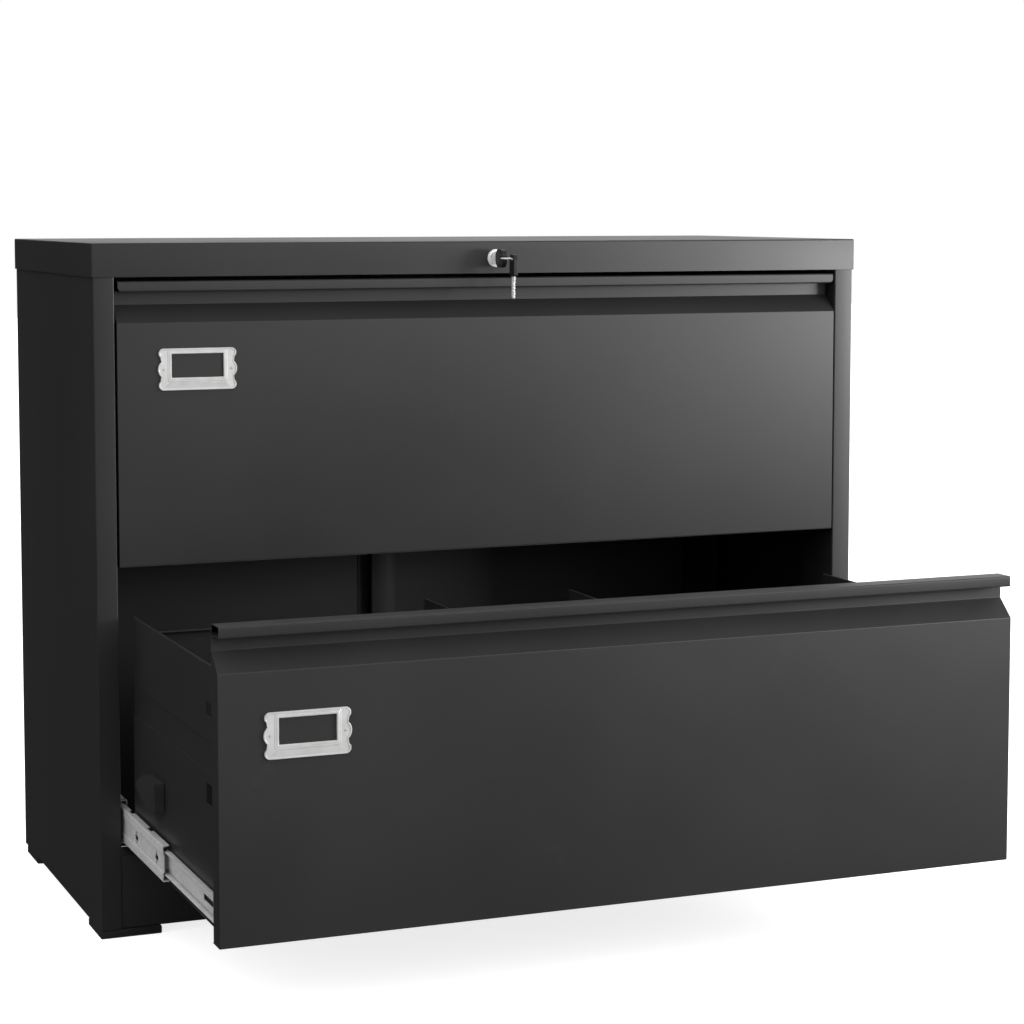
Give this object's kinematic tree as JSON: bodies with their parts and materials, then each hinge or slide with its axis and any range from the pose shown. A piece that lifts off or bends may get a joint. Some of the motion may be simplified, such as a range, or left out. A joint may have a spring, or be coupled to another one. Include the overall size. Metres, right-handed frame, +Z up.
{
  "type": "filing cabinet",
  "caption": "Wide lateral filing cabinet of folded sheet steel: full-extension drawers on ball-bearing slides, label frames and a key lock. The lower drawer stands open.",
  "frame": {"origin": "on the floor, in the middle of the footprint that the cabinet and its open lower drawer cover together", "axes": "+X to the cabinet's right as seen from the front, +Y to the back (drawers open towards -Y), +Z up"},
  "size_m": [0.9, 0.784, 0.734],
  "materials": {
    "charcoal_powder_coat": "fine-textured satin charcoal powder coat",
    "zinc_slides": "bright zinc-plated rolled steel",
    "zinc_hardware": "zinc-plated pressed steel",
    "bright_plating": "bright nickel plating",
    "label_frame_metal": "silver-white satin pressed metal",
    "key_plastic": "black moulded plastic",
    "black_plastic": "black moulded plastic",
    "foot_plastic": "brown-black moulded plastic"
  },
  "bodies": {
    "case": {"back_panel": "charcoal_powder_coat", "back_stiffener": "charcoal_powder_coat", "foot_front_left": "foot_plastic", "foot_front_right": "foot_plastic", "foot_rear_left": "foot_plastic", "foot_rear_right": "foot_plastic", "left_side_panel": "charcoal_powder_coat", "lock_bar_guide_lower": "black_plastic", "lock_bar_guide_upper": "black_plastic", "lock_housing": "bright_plating", "lock_nut": "zinc_hardware", "lower_slide_outer_left": "zinc_slides", "lower_slide_outer_right": "zinc_slides", "plinth_rail": "charcoal_powder_coat", "right_side_panel": "charcoal_powder_coat", "top_cover": "charcoal_powder_coat", "upper_slide_outer_left": "zinc_slides", "upper_slide_outer_right": "zinc_slides"},
    "upper_drawer": {"upper_back": "charcoal_powder_coat", "upper_bottom": "charcoal_powder_coat", "upper_catch_block": "black_plastic", "upper_file_bar_left": "charcoal_powder_coat", "upper_file_bar_right": "charcoal_powder_coat", "upper_front_liner": "charcoal_powder_coat", "upper_front_skin": "charcoal_powder_coat", "upper_label_frame": "label_frame_metal", "upper_side_left": "charcoal_powder_coat", "upper_side_plate_left": "charcoal_powder_coat", "upper_side_plate_right": "charcoal_powder_coat", "upper_side_right": "charcoal_powder_coat", "upper_slide_inner_left": "zinc_slides", "upper_slide_inner_right": "zinc_slides"},
    "upper_runners": {"upper_slide_middle_left": "zinc_slides", "upper_slide_middle_right": "zinc_slides"},
    "lower_drawer": {"lower_back": "charcoal_powder_coat", "lower_bottom": "charcoal_powder_coat", "lower_catch_block": "black_plastic", "lower_file_bar_left": "charcoal_powder_coat", "lower_file_bar_right": "charcoal_powder_coat", "lower_front_liner": "charcoal_powder_coat", "lower_front_skin": "charcoal_powder_coat", "lower_label_frame": "label_frame_metal", "lower_side_left": "charcoal_powder_coat", "lower_side_plate_left": "charcoal_powder_coat", "lower_side_plate_right": "charcoal_powder_coat", "lower_side_right": "charcoal_powder_coat", "lower_slide_inner_left": "zinc_slides", "lower_slide_inner_right": "zinc_slides"},
    "lower_runners": {"lower_slide_middle_left": "zinc_slides", "lower_slide_middle_right": "zinc_slides"},
    "lock_barrel": {"lock_plug": "bright_plating", "lock_cam": "zinc_hardware", "key_blade": "bright_plating", "key_head": "key_plastic"},
    "key_loop": {"key_ring": "bright_plating"},
    "spare_key": {"spare_key_head": "key_plastic"},
    "lock_link": {"lock_link": "zinc_hardware"},
    "lock_bar": {"lock_bar": "zinc_hardware"}
  },
  "joints": [
    {"name": "upper_drawer_slide", "type": "slide", "parent": "case", "child": "upper_drawer", "axis": [0, -1, 0], "range_m": [0, 0.377]},
    {"name": "upper_runner_slide", "type": "slide", "parent": "case", "child": "upper_runners", "axis": [0, -1, 0], "range_m": [0, 0.1885]},
    {"name": "lower_drawer_slide", "type": "slide", "parent": "case", "child": "lower_drawer", "axis": [0, -1, 0], "range_m": [-0.377, 0]},
    {"name": "lower_runner_slide", "type": "slide", "parent": "case", "child": "lower_runners", "axis": [0, -1, 0], "range_m": [-0.1885, 0]},
    {"name": "lock_turn", "type": "hinge", "parent": "case", "child": "lock_barrel", "pos_m": [0, -0.01295, 0.7152], "axis": [0, 1, 0], "range_deg": [0, 90]},
    {"name": "link_slide", "type": "slide", "parent": "case", "child": "lock_link", "axis": [1, 0, 0], "range_m": [0, 0.01132]},
    {"name": "bar_lift", "type": "slide", "parent": "case", "child": "lock_bar", "axis": [0, 0, 1], "range_m": [0, 0.01131]},
    {"name": "key_ring_tilt", "type": "hinge", "parent": "lock_barrel", "child": "key_loop", "pos_m": [0, -0.03335, 0.7152], "axis": [1, 0, 0], "range_deg": [0, 80]},
    {"name": "spare_key_swing", "type": "hinge", "parent": "key_loop", "child": "spare_key", "pos_m": [0.007, -0.04774, 0.7152], "axis": [1, 0, 0], "range_deg": [-80, 0]}
  ],
  "couplings": [
    {"joint": "upper_runner_slide", "follows": "upper_drawer_slide", "ratio": 0.5},
    {"joint": "lower_runner_slide", "follows": "lower_drawer_slide", "ratio": 0.5},
    {"joint": "link_slide", "follows": "bar_lift", "ratio": 1},
    {"joint": "lock_turn", "follows": "bar_lift", "rad_per_m": 138.84},
    {"joint": "spare_key_swing", "follows": "key_ring_tilt", "ratio": -1}
  ]
}
